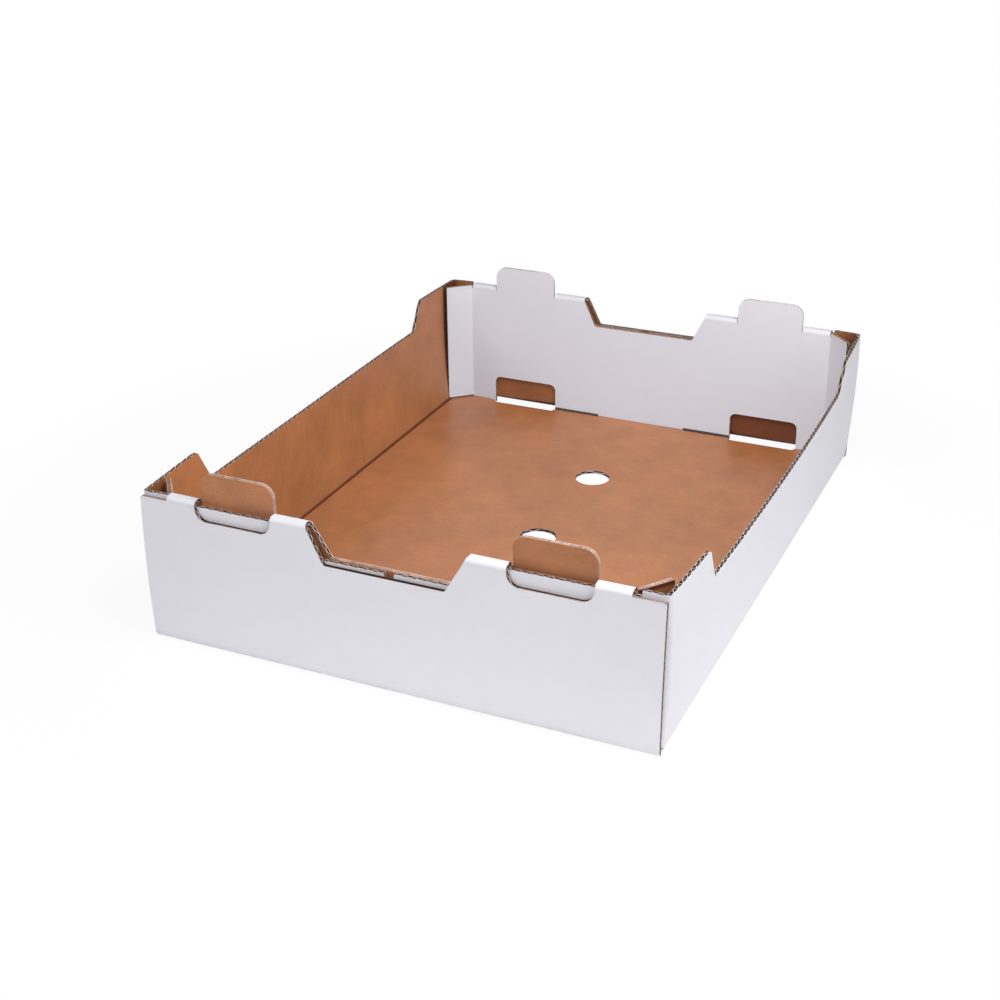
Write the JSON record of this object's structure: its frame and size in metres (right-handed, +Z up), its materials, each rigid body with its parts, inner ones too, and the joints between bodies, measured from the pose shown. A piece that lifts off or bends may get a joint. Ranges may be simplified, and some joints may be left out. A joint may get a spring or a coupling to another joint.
{
  "type": "cardboard tray box",
  "caption": "Open stacking tray box of white-faced corrugated board, folded from one sheet, with hand notches, stacking ears and matching floor sockets.",
  "frame": {"origin": "middle of the footprint, on the surface that the tray stands on", "axes": "+X across the tray, from side wall to side wall; +Y along the tray, from the end wall nearest the camera to the far one; +Z up"},
  "size_m": [0.4082, 0.53, 0.1418],
  "materials": {
    "white_faced_board": "matt white outer liner, brown kraft inner liner and flutes"
  },
  "bodies": {
    "root": {"folded_tray": "white_faced_board"}
  },
  "joints": []
}
